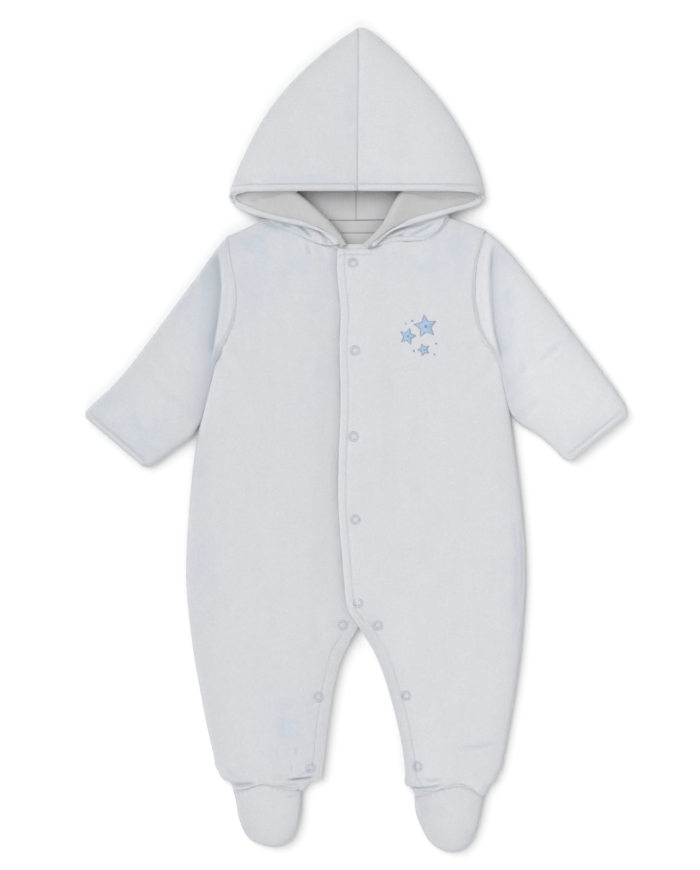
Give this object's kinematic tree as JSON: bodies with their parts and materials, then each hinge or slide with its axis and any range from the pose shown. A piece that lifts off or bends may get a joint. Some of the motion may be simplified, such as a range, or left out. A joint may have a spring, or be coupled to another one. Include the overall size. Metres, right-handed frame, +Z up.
{
  "type": "hooded footed baby suit",
  "caption": "Hooded, footed baby suit in pale velour with long sleeves and ring snaps, laid flat on its back with the hood open.",
  "frame": {"origin": "centre of the laid-out suit's box, on the surface it lies on", "axes": "+X to the wearer's left, +Y from the feet towards the hood, +Z up from the surface"},
  "size_m": [0.4928, 0.7448, 0.0186],
  "materials": {
    "velour": "soft short-pile velour, very pale icy blue",
    "lining": "matte fine-rib jersey, pale grey-white",
    "label": "woven satin ribbon, blank, ivory white",
    "snap": "translucent pale lavender-blue ring snap"
  },
  "bodies": {
    "root": {"front_right": "velour", "back_right": "velour", "sleeve_right": "velour", "vamp_right": "velour", "sole_right": "velour", "hood_right": "velour", "front_left": "velour", "back_left": "velour", "sleeve_left": "velour", "vamp_left": "velour", "sole_left": "velour", "hood_left": "velour", "hood_lining_right": "lining", "hood_lining_left": "lining", "neck_facing": "lining", "label": "label", "snap_ring_front_1": "snap", "snap_stud_front_1": "snap", "snap_ring_front_2": "snap", "snap_stud_front_2": "snap", "snap_ring_front_3": "snap", "snap_stud_front_3": "snap", "snap_ring_front_4": "snap", "snap_stud_front_4": "snap", "snap_ring_front_5": "snap", "snap_stud_front_5": "snap", "snap_ring_right_leg_1": "snap", "snap_stud_right_leg_1": "snap", "snap_ring_right_leg_2": "snap", "snap_stud_right_leg_2": "snap", "snap_ring_right_leg_3": "snap", "snap_stud_right_leg_3": "snap", "snap_ring_left_leg_1": "snap", "snap_stud_left_leg_1": "snap", "snap_ring_left_leg_2": "snap", "snap_stud_left_leg_2": "snap", "snap_ring_left_leg_3": "snap", "snap_stud_left_leg_3": "snap"}
  },
  "joints": []
}
